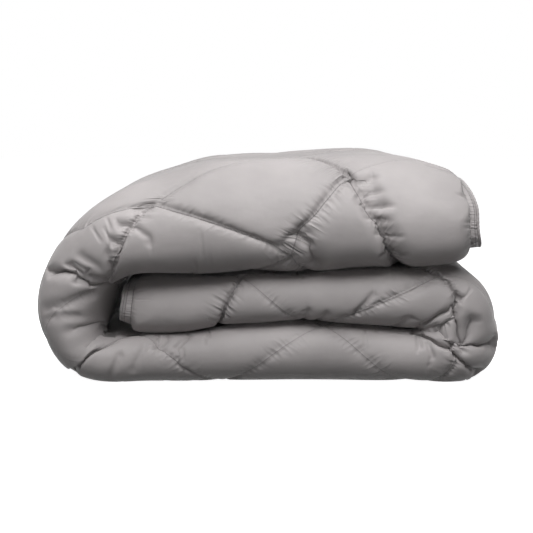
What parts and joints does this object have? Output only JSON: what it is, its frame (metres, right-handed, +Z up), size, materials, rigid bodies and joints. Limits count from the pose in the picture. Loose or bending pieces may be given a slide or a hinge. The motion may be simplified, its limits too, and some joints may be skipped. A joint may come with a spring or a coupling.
{
  "type": "folded quilted duvet",
  "caption": "Diamond-quilted duvet with a rolled edge, folded into a soft rounded strip and then folded over itself into a low pile.",
  "frame": {"origin": "on the surface it lies on, under the middle of the pile's box", "axes": "+X to the right as seen from the folded front, +Y to the back where the edges are, +Z up"},
  "size_m": [0.671, 0.5164, 0.3287],
  "materials": {
    "cover_fabric": "smooth brushed microfibre with a soft sheen, diamond-quilted",
    "binding_fabric": "smooth brushed microfibre, rolled and double-stitched"
  },
  "bodies": {
    "root": {"duvet": "cover_fabric", "edge_binding": "binding_fabric"}
  },
  "joints": []
}
